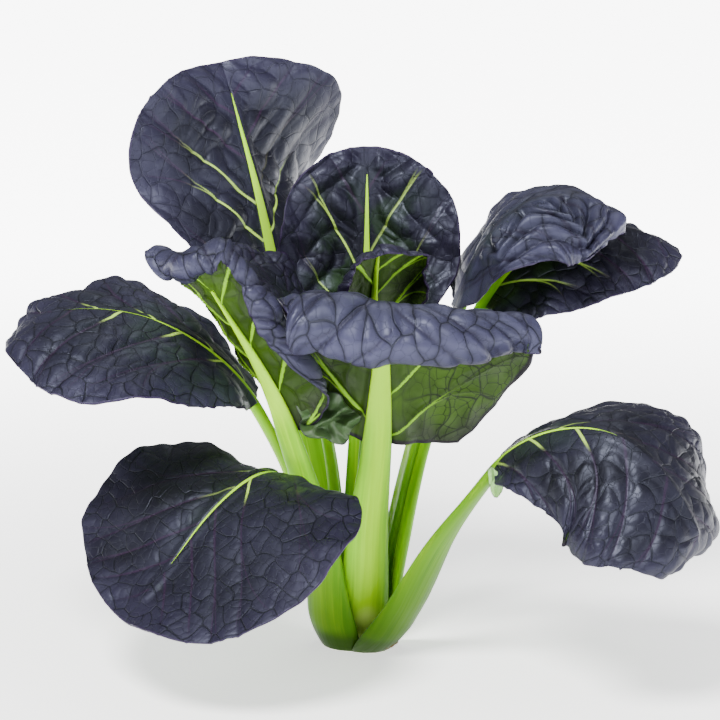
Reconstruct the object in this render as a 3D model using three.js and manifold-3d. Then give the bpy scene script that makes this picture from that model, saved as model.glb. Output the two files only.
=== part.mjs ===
// A cut head of purple bok choy, standing on its cut base: a short crown, green stalks that run on
// as the midribs of the leaves, and dark purple spoon-shaped blades that arch, droop and roll.
// Millimetres, +Z up. The origin is the middle of the flat cut face, and +X is to the right from the front.
import * as THREE from 'three';
import { mergeVertices } from 'three/addons/utils/BufferGeometryUtils.js';
import Module from 'manifold-3d';

const wasm = await Module();
wasm.setup();

// Driving dimensions, mm and degrees
const bladeThickness = 1.0;
const gap = 0.4;
const slitGap = 0.7;
const crownRadius = 9;
const crownHeight = 16;
const heelLength = 22;
const heelTuck = 7;
const heelNarrowing = 0.5;
const seatDepth = 5;
const slitBeyondRib = 0.02;
const lipStep = 0.05;
const ribTaper = 1.6;
const ribTipHalfWidth = 0.7;
const ribTipThickness = 1.5;
const ribProud = 0.5;
const veinSpacing = 18;
const veinSlant = 0.8;
const quiltHeight = 0.8;
const quiltStart = 3;
const quiltFull = 14;
const swellHeight = 1.2;
const swellAlong = 13;
const swellAcross = 15;
const swellFull = 12;
const swellTurn = 1.7;
const channelDepth = 0.35;
const bladeStartThickness = 5;
const stalkThickness = [4.5, 7, 6, bladeStartThickness];
const stalkCup = [0.4, 0.16, 0.06, 0];
const ribRiseStart = 0.6;
const headingWindow = 7;
const reliefStart = 8;
const stalkRings = 14;
const stalkSides = 10;
const crownSides = 24;
const arcSteps = 24;
const midlineSpare = 1.12;

const stalkGreen = new THREE.MeshStandardMaterial({ color: 0x9fcb3a, roughness: 0.42, metalness: 0 });
const crownGreen = new THREE.MeshStandardMaterial({ color: 0x7ea52b, roughness: 0.5, metalness: 0 });
const bladePurple = new THREE.MeshStandardMaterial({ color: 0x2b2738, roughness: 0.5, metalness: 0 });

// One entry for each leaf. seat is the azimuth and the radius of its foot on the crown, azimuth is the way
// it heads. rise and swing are the midline's elevation and turn at even steps along the stalk and the blade,
// roll its twist. width holds the half widths of the left and right half of the blade, and fold and curl
// give each half's slope at the midrib and its turn from there to the margin. lip is where the margin rolls
// under: its share of the way out, its radius, its middle round the margin (0 is the tip,
// 90 the right side), how far it goes to each side and over how much of that it tapers off. grid is the
// columns and rows of half a blade.
// ruffle holds the waves round the margin, their height and phase; stalkWidth the half widths at the foot,
// half way and at the blade.
const leaves = {
  right_low: {
    seat: [303, 16], azimuth: 315, stalk: 111, blade: 135,
    stalkRise: [56, 61, 52], stalkSwing: [-1, 14], bladeRise: [27, 6, -38, -60, -85], bladeSwing: [4, 22, 32],
    roll: [8, 2], width: [56, 49], egg: 0.09, blunt: 1, lobe: [2, -16],
    fold: [[4, 3, 6], [-30, -40, -30]], curl: [[-6, -20, -22], [-22, -40, -26]],
    ruffle: [8, 1.8, 5.0], stalkWidth: [17, 11.5, 7.5],
    ribShare: 0.86, lip: [0.22, 8, 30, 110, 50], grid: [6, 14],
  },
  front_left_low: {
    seat: [225, 18], azimuth: 224, stalk: 99, blade: 96,
    stalkRise: [85, 89, 22], stalkSwing: [4, 5], bladeRise: [-22, -38, -48, -40, -36],
    bladeSwing: [-7, -8, -14], roll: [-4, -6], width: [67, 60], egg: 0.04, blunt: 1, lobe: [13, 3],
    fold: [[2, -1, -2], [6, 11, 11]], curl: [[-11, -17, -16], [-7, -4, -8]],
    ruffle: [9, 1.5, 4.1], stalkWidth: [17.5, 9, 4],
    ribShare: 0.86, lip: [0, 1, 0, 0, 1], grid: [6, 14],
  },
  front: {
    seat: [283, 10], azimuth: 288, stalk: 98, blade: 112,
    stalkRise: [84, 84, 80], stalkSwing: [6, 14], bladeRise: [80, 72, 40, -42, -105],
    bladeSwing: [-8, -14, -14], roll: [-5, -4], width: [65, 43], egg: 0.3, blunt: 0.7, lobe: [12, -6],
    fold: [[0, 5, 4], [26, 14, 0]], curl: [[0, -10, -32], [-6, -14, -35]],
    ruffle: [9, 1.5, 5.7], stalkWidth: [13.5, 10, 7],
    ribShare: 0.86, lip: [0.25, 9, 0, 115, 50], grid: [7, 16],
  },
  left: {
    seat: [176, 12], azimuth: 187, stalk: 119, blade: 122,
    stalkRise: [80, 79, 58], stalkSwing: [5, 17], bladeRise: [42, 28, 8, -10, -46], bladeSwing: [7, -7, -20],
    roll: [0, 0], width: [55, 36], egg: 0.18, blunt: 1, lobe: [-6, -2],
    fold: [[-24, -24, -22], [26, 16, 18]], curl: [[-20, -10, -18], [-2, -12, -20]],
    ruffle: [8, 1.6, 3.3], stalkWidth: [10, 6.5, 4.2],
    ribShare: 0.86, lip: [0, 1, 0, 0, 1], grid: [6, 14],
  },
  left_front: {
    seat: [226, 10], azimuth: 222, stalk: 107, blade: 117,
    stalkRise: [80, 76, 69], stalkSwing: [-4, -6], bladeRise: [62, 57, 57, 58, 56],
    bladeSwing: [-12, -18, -18], roll: [27, 54], width: [38.5, 24], egg: 0, blunt: 1, lobe: [2, 4],
    fold: [[0, 0, 0], [44, 44, 30]], curl: [[-6, -6, -10], [0, 0, -20]],
    ruffle: [8, 1.4, 0.9], stalkWidth: [9, 8, 5.5],
    ribShare: 0.62, lip: [0.48, 5.6, -40, 125, 60], grid: [9, 16],
  },
  right_long: {
    seat: [8, 12], azimuth: 24, stalk: 157, blade: 108,
    stalkRise: [84, 76, 58], stalkSwing: [0, -2], bladeRise: [40, 20, 0, -20, -46], bladeSwing: [-6, -8, -10],
    roll: [6, 12], width: [34, 38], egg: 0.03, blunt: 1, lobe: [-4, 10],
    fold: [[-6, -8, -4], [-16, -24, -20]], curl: [[-10, -10, -12], [-24, -24, -30]],
    ruffle: [8, 1.6, 2.8], stalkWidth: [9, 6, 4],
    ribShare: 0.86, lip: [0, 1, 0, 0, 1], grid: [6, 14],
  },
  right_upper: {
    seat: [42, 11], azimuth: 10, stalk: 153, blade: 103,
    stalkRise: [84, 77, 70], stalkSwing: [0, -1], bladeRise: [66, 48, 14, -18, -50], bladeSwing: [-6, -8, -8],
    roll: [14, 12], width: [42, 40], egg: 0.14, blunt: 1, lobe: [0, -10],
    fold: [[-6, -6, -10], [8, 2, -10]], curl: [[-16, -18, -24], [-34, -44, -55]],
    ruffle: [8, 1.6, 2.1], stalkWidth: [8, 5.5, 4],
    ribShare: 0.86, lip: [0.16, 7, 50, 110, 50], grid: [6, 14],
  },
  back_left: {
    seat: [132, 11], azimuth: 131, stalk: 155, blade: 106,
    stalkRise: [80, 74, 73], stalkSwing: [2, 4], bladeRise: [75, 72, 67, 66, 58], bladeSwing: [8, 2, -5],
    roll: [-1, -1], width: [56, 62], egg: 0.11, blunt: 1, lobe: [-10, -12],
    fold: [[10, -4, 12], [10, -10, 18]], curl: [[-15, -28, -10], [-13, -28, 10]],
    ruffle: [9, 1.6, 0.3], stalkWidth: [10, 7.5, 4.5],
    ribShare: 0.86, lip: [0, 1, 0, 0, 1], grid: [6, 14],
  },
  back: {
    seat: [86, 11], azimuth: 84, stalk: 131, blade: 86,
    stalkRise: [82, 80, 78], stalkSwing: [0, 0], bladeRise: [79, 82, 84, 85, 78], bladeSwing: [0, 3, 1],
    roll: [1, 3], width: [41, 43], egg: 0, blunt: 1, lobe: [0, 0],
    fold: [[26, 20, 12], [26, 14, 9]], curl: [[10, 9, 8], [10, 2, 3]],
    ruffle: [9, 1.8, 1.3], stalkWidth: [10, 7.5, 4.5],
    ribShare: 0.86, lip: [0, 1, 0, 0, 1], grid: [6, 14],
  },
  inner_left: {
    seat: [168, 5], azimuth: 178, stalk: 131, blade: 66,
    stalkRise: [88, 85, 78], stalkSwing: [0, 0], bladeRise: [64, 52, 40, 28, 16], bladeSwing: [0, 0, 0],
    roll: [-6, -8], width: [27, 22], egg: 0.05, blunt: 1, lobe: [0, -4],
    fold: [[20, 16, 6], [20, 17, 8]], curl: [[0, -10, -20], [0, -9, -18]],
    ruffle: [8, 1.8, 1.9], stalkWidth: [6, 5, 3.5],
    ribShare: 0.86, lip: [0.24, 4, -40, 130, 50], grid: [7, 14],
  },
  inner_front: {
    seat: [300, 4.5], azimuth: 300, stalk: 129, blade: 60,
    stalkRise: [88, 87, 87], stalkSwing: [2, 2], bladeRise: [86, 84, 80, 70, 60], bladeSwing: [-1, -4, -6],
    roll: [3, 6], width: [28, 26], egg: 0.06, blunt: 1, lobe: [0, 0],
    fold: [[24, 8, -10], [24, 2, -12]], curl: [[0, -22, -34], [0, -28, -38]],
    ruffle: [9, 1.2, 2.9], stalkWidth: [6, 5, 3.5],
    ribShare: 0.86, lip: [0.3, 3.5, 0, 150, 40], grid: [7, 14],
  },
};

const { clamp, degToRad, euclideanModulo, lerp, radToDeg, smoothstep } = THREE.MathUtils;
const zAxis = new THREE.Vector3(0, 0, 1);

// The value at share t of a list of values that stand at even steps from 0 to 1
function along(values, t, ease = false) {
  const place = clamp(t, 0, 1) * (values.length - 1);
  const step = Math.min(Math.floor(place), values.length - 2);
  const share = place - step;
  return lerp(values[step], values[step + 1], ease ? smoothstep(share, 0, 1) : share);
}

// The midline of a leaf at every millimetre: its points, with the heading (T), the side that faces
// the head's axis (N) and the leaf's right (B)
function midline(leaf) {
  const steps = Math.round(leaf.stalk + leaf.blade * midlineSpare) + 1;
  const headings = [];
  for (let u = 0; u < steps; u++) {
    const onStalk = u < leaf.stalk;
    const t = onStalk ? u / leaf.stalk : (u - leaf.stalk) / leaf.blade;
    headings.push([
      onStalk ? along(leaf.stalkRise, t) : along([leaf.stalkRise.at(-1), ...leaf.bladeRise], t),
      onStalk ? along([0, ...leaf.stalkSwing], t) : along([leaf.stalkSwing.at(-1), ...leaf.bladeSwing], t),
      onStalk ? along([0, leaf.roll[0]], t) : along(leaf.roll, t),
    ]);
  }
  const frames = [];
  const [seatAzimuth, seatRadius] = leaf.seat;
  const outward = new THREE.Vector3(1, 0, 0).applyAxisAngle(zAxis, degToRad(seatAzimuth));
  const point = outward.clone().multiplyScalar(seatRadius).setZ(-seatDepth);
  let before = null;
  for (let u = 0; u < steps; u++) {
    const mean = [0, 0, 0];
    for (let k = u - headingWindow; k <= u + headingWindow; k++) {
      const near = headings[clamp(k, 0, steps - 1)];
      mean.forEach((value, i) => { mean[i] = value + near[i] / (2 * headingWindow + 1); });
    }
    const [rise, swing, roll] = mean.map(degToRad);
    const azimuth = degToRad(leaf.azimuth) + swing;
    const T = new THREE.Vector3(Math.cos(rise) * Math.cos(azimuth), Math.cos(rise) * Math.sin(azimuth),
      Math.sin(rise));
    const N = new THREE.Vector3(-Math.sin(rise) * Math.cos(azimuth), -Math.sin(rise) * Math.sin(azimuth),
      Math.cos(rise));
    N.applyAxisAngle(T, roll);
    const B = new THREE.Vector3().crossVectors(T, N);
    if (before) {
      point.addScaledVector(before, 0.5).addScaledVector(T, 0.5);
    }
    before = T;
    const tuck = heelTuck * Math.max(0, 1 - u / heelLength) ** 2;
    frames.push({ P: point.clone().addScaledVector(outward, -tuck), T, N, B });
  }
  return frames;
}

// The frame at any distance q along the midline
function frameAt(frames, q) {
  const place = clamp(q, 0, frames.length - 1);
  const step = Math.min(Math.floor(place), frames.length - 2);
  const mix = (name) => frames[step][name].clone().lerp(frames[step + 1][name], place - step);
  return { P: mix('P'), T: mix('T').normalize(), N: mix('N').normalize(), B: mix('B').normalize() };
}

// Half width, thickness, cup and offset of the stalk and midrib at distance q from the foot
function stalkSection(leaf, q) {
  if (q > leaf.stalk) {
    const left = 1 - clamp((q - leaf.stalk) / (leaf.blade * leaf.ribShare), 0, 1);
    const half = ribTipHalfWidth + (leaf.stalkWidth[2] - ribTipHalfWidth) * left ** ribTaper;
    const thick = ribTipThickness + (bladeStartThickness - ribTipThickness) * left;
    const drop = thick / 2 - bladeThickness / 2 - ribProud;
    return { half, thick, cup: 0, channel: channelDepth * left, drop };
  }
  const t = q / leaf.stalk;
  const heel = 1 - heelNarrowing * Math.max(0, 1 - q / heelLength) ** 2;
  const thick = along(stalkThickness, t);
  const rise = smoothstep(t, ribRiseStart, 1);
  return {
    half: along(leaf.stalkWidth, t) * heel,
    thick,
    cup: along(stalkCup, t),
    channel: channelDepth,
    drop: (thick / 2 - bladeThickness / 2 - ribProud) * rise,
  };
}

// Half width of the slit that the midrib runs in
function slitHalf(leaf, a) {
  if (a > leaf.blade * (leaf.ribShare + slitBeyondRib)) {
    return 0;
  }
  return stalkSection(leaf, leaf.stalk + Math.max(a, 0)).half + slitGap;
}

// One closed body for a stalk and its midrib: a cylinder whose rings are moved along the midline.
// grow makes it stand that much further out all round.
function stalkGeometry(leaf, frames, grow = 0) {
  const geometry = new THREE.CylinderGeometry(1, 1, 1, stalkSides, stalkRings);
  const place = geometry.attributes.position;
  const length = leaf.stalk + leaf.blade * leaf.ribShare;
  const v = new THREE.Vector3();
  for (let i = 0; i < place.count; i++) {
    v.fromBufferAttribute(place, i);
    const q = (v.y + 0.5) * (length + 2 * grow) - grow;
    const { P, N, B } = frameAt(frames, q);
    const section = stalkSection(leaf, Math.max(q, 0));
    const across = (section.half + grow) * v.x;
    const channel = v.z > 0 ? 1 - section.channel * (1 - v.x * v.x) : 1;
    const out = (section.thick / 2 + grow) * v.z * channel + section.cup * section.half * v.x * v.x;
    v.copy(P).addScaledVector(B, across).addScaledVector(N, out - section.drop);
    place.setXYZ(i, v.x, v.y, v.z);
  }
  return geometry;
}

// How far the blade stands off its smooth form at a, b: waves at the margin and pillows between side veins
function relief(leaf, a, b, s, t) {
  const [waves, height, phase] = leaf.ruffle;
  const edge = clamp(s * s + t * t, 0, 1) ** 2;
  const ruffle = height * edge * Math.sin(waves * Math.atan2(t, s) + phase);
  const swell = swellHeight * Math.sin(a / swellAlong + phase) * Math.sin(b / swellAcross + swellTurn * phase)
    * clamp(Math.abs(b) / swellFull, 0, 1);
  const vein = (a - Math.abs(b) * veinSlant) / veinSpacing + phase;
  const quilt = quiltHeight * (2 * Math.abs(Math.sin(Math.PI * vein)) - 1)
    * smoothstep(Math.abs(b), quiltStart, quiltFull);
  return ruffle + swell + quilt;
}

// A point of the open blade, its upper side's direction there, and where it is on the blade: x runs from the
// midrib (0) to the margin (1) on the given side, y from base to tip. slit is set where the half starts
// further out than the slit at its own place.
function openPoint(leaf, frames, side, x, y, slit = null) {
  const i = side < 0 ? 0 : 1;
  const s = y * Math.sqrt(1 - leaf.blunt * x * x / 2);
  const t = x * Math.sqrt(1 - leaf.blunt * y * y / 2);
  const a = leaf.blade * (s + 1) / 2 - leaf.lobe[i] * t * t * (1 - s);
  const opening = slit ?? slitHalf(leaf, a);
  const half = leaf.width[i];
  const b = Math.max(t * half * (1 + leaf.egg * s), 0) + opening * (1 - t);
  const share = a / leaf.blade;
  const fold = along(leaf.fold[i], share, true);
  const curl = along(leaf.curl[i], share, true);
  const slope = (bb) => degToRad(fold + curl * clamp(bb / half, 0, 2));
  let across = 0;
  let up = 0;
  for (let k = 0; k < arcSteps; k++) {
    const angle = slope(b * (k + 0.5) / arcSteps);
    across += Math.cos(angle) * b / arcSteps;
    up += Math.sin(angle) * b / arcSteps;
  }
  const angle = slope(b) * clamp(b / reliefStart, 0, 1);
  const { P, N, B } = frameAt(frames, leaf.stalk + a);
  const normal = N.clone().multiplyScalar(Math.cos(angle)).addScaledVector(B, -side * Math.sin(angle));
  const point = P.addScaledVector(B, side * across).addScaledVector(N, up);
  return { point, normal, opening, a, b: side * b, s, t: side * t };
}

// A point of the finished blade, with its margin rolled under where the leaf has a lip
function bladePoint(leaf, frames, side, x, y) {
  const open = openPoint(leaf, frames, side, x, y);
  const { point, normal } = open;
  const [width, radius, middle, reach, taper] = leaf.lip;
  const ring = Math.max(x, Math.abs(y));
  const around = radToDeg(Math.atan2(open.t, open.s)) - middle;
  const off = Math.abs(euclideanModulo(around + 180, 360) - 180);
  const start = 1 - width * (1 - smoothstep(off, reach - taper, reach));
  if (ring > start) {
    const [from, before] = [start, start - lipStep].map((share) => (
      openPoint(leaf, frames, side, x * share / ring, y * share / ring, open.opening)));
    const outward = from.point.clone().sub(before.point).normalize();
    const upward = from.normal.clone().addScaledVector(outward, -from.normal.dot(outward)).normalize();
    const turn = point.distanceTo(from.point) / radius;
    point.copy(from.point).addScaledVector(outward, radius * Math.sin(turn))
      .addScaledVector(upward, radius * (Math.cos(turn) - 1));
    normal.copy(upward).multiplyScalar(Math.cos(turn)).addScaledVector(outward, Math.sin(turn));
  }
  return point.addScaledVector(normal, relief(leaf, open.a, open.b, open.s, open.t));
}

// Both halves of a blade as one sheet, open along the midrib and joined past its end
function bladeSheet(leaf, frames) {
  const points = [];
  const index = [];
  for (const side of [-1, 1]) {
    const [columns, rows] = leaf.grid;
    const half = new THREE.PlaneGeometry(1, 2, columns, rows);
    const start = points.length / 3;
    const place = half.attributes.position;
    for (let i = 0; i < place.count; i++) {
      const x = place.getX(i) + 0.5;
      points.push(...bladePoint(leaf, frames, side, x, place.getY(i)).toArray());
    }
    for (let i = 0; i < half.index.count; i += 3) {
      const [p, q, r] = [0, 1, 2].map((k) => half.index.getX(i + k) + start);
      index.push(...(side > 0 ? [p, q, r] : [p, r, q]));
    }
  }
  const sheet = new THREE.BufferGeometry();
  sheet.setAttribute('position', new THREE.Float32BufferAttribute(points, 3));
  sheet.setIndex(index);
  const merged = mergeVertices(sheet, 1e-3);
  merged.computeVertexNormals();
  return merged;
}

// A closed body from a sheet: the same triangles on both faces, and a rim along every open edge
function thicken(sheet, thickness) {
  const { position, normal } = sheet.attributes;
  const count = position.count;
  const points = [];
  for (const side of [1, -1]) {
    for (let i = 0; i < count; i++) {
      const n = new THREE.Vector3().fromBufferAttribute(normal, i);
      points.push(...n.multiplyScalar(side * thickness / 2)
        .add(new THREE.Vector3().fromBufferAttribute(position, i)).toArray());
    }
  }
  const index = [];
  const open = new Map();
  for (let i = 0; i < sheet.index.count; i += 3) {
    const corners = [0, 1, 2].map((k) => sheet.index.getX(i + k));
    index.push(...corners, corners[0] + count, corners[2] + count, corners[1] + count);
    corners.forEach((from, k) => {
      const to = corners[(k + 1) % 3];
      if (!open.delete(`${to},${from}`)) {
        open.set(`${from},${to}`, [from, to]);
      }
    });
  }
  for (const [from, to] of open.values()) {
    index.push(from + count, to + count, to, from + count, to, from);
  }
  const body = new THREE.BufferGeometry();
  body.setAttribute('position', new THREE.Float32BufferAttribute(points, 3));
  body.setIndex(index);
  return body;
}

// A geometry as a solid for cutting, and back
function toSolid(geometry) {
  const bare = geometry.clone();
  bare.deleteAttribute('normal');
  bare.deleteAttribute('uv');
  const merged = mergeVertices(bare, 1e-4);
  return new wasm.Manifold(new wasm.Mesh({
    numProp: 3,
    vertProperties: new Float32Array(merged.attributes.position.array),
    triVerts: new Uint32Array(merged.index.array),
  }));
}

function toGeometry(solid) {
  const { vertProperties, triVerts } = solid.getMesh();
  const geometry = new THREE.BufferGeometry();
  geometry.setAttribute('position', new THREE.BufferAttribute(vertProperties, 3));
  geometry.setIndex(new THREE.BufferAttribute(triVerts, 1));
  return geometry;
}

// What is left of a solid above the cut face and clear of its neighbours, as its largest piece
function cutClear(solid, neighbours) {
  let rest = solid.trimByPlane([0, 0, 1], 0);
  for (const neighbour of neighbours) {
    rest = rest.subtract(neighbour);
  }
  const pieces = rest.decompose();
  pieces.sort((p, q) => q.volume() - p.volume());
  return pieces[0];
}

// The short crown that the stalks stand round, grown by the gap where it cuts them
function crownGeometry(grow = 0) {
  const radius = crownRadius + grow;
  const top = crownHeight + grow;
  const profile = [[0, -grow], [radius, -grow], [radius, top * 0.4], [radius * 0.55, top * 0.8], [0, top]];
  const geometry = new THREE.LatheGeometry(profile.map(([x, y]) => new THREE.Vector2(x, y)), crownSides);
  return geometry.rotateX(Math.PI / 2);
}

const head = new THREE.Group();

function addPiece(name, geometry, material) {
  const mesh = new THREE.Mesh(geometry, material);
  mesh.name = name;
  head.add(mesh);
}

addPiece('crown', crownGeometry(), crownGreen);
const neighbours = [toSolid(crownGeometry(gap))];
for (const [name, leaf] of Object.entries(leaves)) {
  const frames = midline(leaf);
  const stalk = cutClear(toSolid(stalkGeometry(leaf, frames)), neighbours);
  neighbours.push(toSolid(stalkGeometry(leaf, frames, gap)));
  addPiece(`stalk_${name}`, toGeometry(stalk), stalkGreen);
  addPiece(`blade_${name}`, thicken(bladeSheet(leaf, frames), bladeThickness), bladePurple);
}

export default head;
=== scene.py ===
import math
import bpy
import bmesh
import numpy as np
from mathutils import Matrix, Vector


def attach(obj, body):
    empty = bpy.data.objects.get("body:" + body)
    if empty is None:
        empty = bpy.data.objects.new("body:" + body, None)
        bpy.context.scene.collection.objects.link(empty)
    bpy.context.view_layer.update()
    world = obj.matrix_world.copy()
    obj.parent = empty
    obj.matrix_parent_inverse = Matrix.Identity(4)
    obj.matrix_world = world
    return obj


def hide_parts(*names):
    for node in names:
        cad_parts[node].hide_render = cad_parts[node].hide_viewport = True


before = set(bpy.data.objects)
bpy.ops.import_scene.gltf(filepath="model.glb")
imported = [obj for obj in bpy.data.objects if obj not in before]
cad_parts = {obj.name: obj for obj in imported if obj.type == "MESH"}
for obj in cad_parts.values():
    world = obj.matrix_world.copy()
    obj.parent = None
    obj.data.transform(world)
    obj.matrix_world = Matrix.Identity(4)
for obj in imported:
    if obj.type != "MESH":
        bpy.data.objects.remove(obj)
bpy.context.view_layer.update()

mm = 0.001
print("frame loaded:", len(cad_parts), "nodes")


# Camera and lights: sizes of the view in mm and pixels

view = dict(elevation=12, distance=1100, target=(1, 0, 124), pixelsPerMm=2.36, frame=720, sensor=36)

def placeCamera():
    tilt = math.radians(view["elevation"])
    target = Vector(view["target"])
    away = Vector((0, -math.cos(tilt), math.sin(tilt))) * view["distance"]
    data = bpy.data.cameras.new("camera")
    data.sensor_width = view["sensor"]
    data.lens = view["pixelsPerMm"] * view["distance"] * view["sensor"] / view["frame"]
    data.clip_start = 0.05
    camera = bpy.data.objects.new("camera", data)
    camera.location = (target + away) * mm
    camera.rotation_euler = (math.radians(90) - tilt, 0, 0)
    bpy.context.collection.objects.link(camera)
    bpy.context.scene.camera = camera

# metres and watts; every lamp looks at the middle of the head
lamps = dict(
    keyLight=dict(place=(-0.4, -0.95, 1.45), size=0.55, power=62, tint=(1, 0.99, 0.97)),
    sideLight=dict(place=(1.3, -0.9, 0.8), size=0.5, power=6, tint=(0.95, 0.96, 1)),
    backLight=dict(place=(0.2, 0.9, 1.6), size=0.7, power=7, tint=(0.9, 0.92, 1)),
)
lampAim = (0, 0, 0.12)

def addLight(name, place, size, power, tint):
    data = bpy.data.lights.new(name, "AREA")
    data.shape = "DISK"
    data.size = size
    data.energy = power
    data.color = tint
    lamp = bpy.data.objects.new(name, data)
    lamp.location = place
    lamp.rotation_euler = (Vector(lampAim) - Vector(place)).to_track_quat("-Z", "Y").to_euler()
    bpy.context.collection.objects.link(lamp)

placeCamera()
for name, lamp in lamps.items():
    addLight(name, **lamp)
print("camera and lights placed")


# Material helpers

# a screen tone from 0 to 255 as linear light
def tone(*levels):
    shares = [level / 255 for level in levels]
    return (*(c / 12.92 if c < 0.0404 else ((c + 0.055) / 1.055) ** 2.4 for c in shares), 1)

def addNode(tree, kind, values=None, **settings):
    item = tree.nodes.new(kind)
    for key, value in settings.items():
        setattr(item, key, value)
    for socket, value in (values or {}).items():
        if isinstance(value, bpy.types.NodeSocket):
            tree.links.new(value, item.inputs[socket])
        else:
            item.inputs[socket].default_value = value
    return item

def readFloat(tree, name):
    return addNode(tree, "ShaderNodeAttribute", attribute_name=name).outputs["Fac"]

def readVector(tree, name):
    return addNode(tree, "ShaderNodeAttribute", attribute_name=name).outputs["Vector"]

def calc(tree, operation, first, second=0.0):
    return addNode(tree, "ShaderNodeMath", {0: first, 1: second}, operation=operation).outputs[0]

def span(tree, value, low, high, toLow=0.0, toHigh=1.0):
    values = {"Value": value, "From Min": low, "From Max": high, "To Min": toLow, "To Max": toHigh}
    return addNode(tree, "ShaderNodeMapRange", values, interpolation_type="SMOOTHSTEP").outputs[0]

def mixTone(tree, share, first, second):
    values = {0: share, 6: first, 7: second}
    return addNode(tree, "ShaderNodeMix", values, data_type="RGBA", blend_type="MIX").outputs[2]

def noise(tree, vector, scale, detail=3.0):
    values = {"Vector": vector, "Scale": scale, "Detail": detail}
    return addNode(tree, "ShaderNodeTexNoise", values).outputs["Fac"]

def net(tree, vector, scale):
    values = {"Vector": vector, "Scale": scale}
    return addNode(tree, "ShaderNodeTexVoronoi", values, feature="DISTANCE_TO_EDGE").outputs["Distance"]

def stretched(tree, vector, scale):
    return addNode(tree, "ShaderNodeMapping", {"Vector": vector, "Scale": scale}).outputs["Vector"]

def startMaterial(name):
    material = bpy.data.materials.new(name)
    material.use_nodes = True
    material.node_tree.nodes.clear()
    return material, material.node_tree

def finishMaterial(tree, color, roughness, height, depth, **sockets):
    shader = addNode(tree, "ShaderNodeBsdfPrincipled", {"Base Color": color, "Roughness": roughness})
    for name, value in sockets.items():
        shader.inputs[name].default_value = value
    bump = addNode(tree, "ShaderNodeBump", {"Height": height, "Distance": depth, "Strength": 0.8})
    tree.links.new(bump.outputs[0], shader.inputs["Normal"])
    out = addNode(tree, "ShaderNodeOutputMaterial")
    tree.links.new(shader.outputs[0], out.inputs["Surface"])

# share of a side vein at a point, from the three vein coordinates of a blade; its half width in mm goes
# from the first to the second value over reach mm from the midrib
def veinLine(tree, halfWidths, reach):
    lane = readFloat(tree, "lane")
    nearest = None
    for name in ("veinMain", "veinLow", "veinHigh"):
        place = readFloat(tree, name)
        off = calc(tree, "ABSOLUTE", calc(tree, "SUBTRACT", place, calc(tree, "ROUND", place)))
        off = calc(tree, "MULTIPLY", off, lane)
        nearest = off if nearest is None else calc(tree, "MINIMUM", nearest, off)
    halfWidth = span(tree, readFloat(tree, "ribSide"), 0, reach, *halfWidths)
    return span(tree, calc(tree, "DIVIDE", nearest, halfWidth), 0.5, 1.25, 1.0, 0.0)

# thin dark lines where two rounded cells meet
def netLine(tree, name, width, strength):
    sides = [calc(tree, "ABSOLUTE", readFloat(tree, name + part)) for part in ("A", "B")]
    return span(tree, calc(tree, "MINIMUM", *sides), width * 0.3, width, strength, 0.0)

def netLines(tree, look):
    cell, small = netLine(tree, "cell", *look["cellLine"]), netLine(tree, "small", *look["smallLine"])
    return calc(tree, "MAXIMUM", cell, small)


# Blade, stalk and crown materials. cellLine and smallLine are the width in mm and the strength of the net's
# lines, veinHalf the half widths of a side vein at the midrib and veinReach mm out, shine the roughness

upperLook = dict(
    deep=tone(6, 5, 9), worn=tone(23, 22, 34), marginTone=tone(42, 38, 60), green=tone(34, 58, 14),
    # crease is the tone of the dark net and of the painted shade in the grooves between cushions
    netAndGrooveShade=tone(3, 3, 6), veinPale=tone(168, 206, 80), veinDim=tone(58, 26, 60), rim=tone(40, 22, 54),
    # crest is the tone of a painted highlight on the tops of the cushions
    scuff=tone(92, 104, 96), crestHighlight=tone(104, 106, 142), cellLine=(0.36, 0.85), smallLine=(0.2, 0.3),
    veinHalf=(0.6, 0.17), veinReach=40, grain=700, wrinkle=240, bump=0.00028, shine=(0.4, 0.55),
    gloss=0.32, glossTint=(0.7, 0.76, 1, 1),
)

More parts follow.
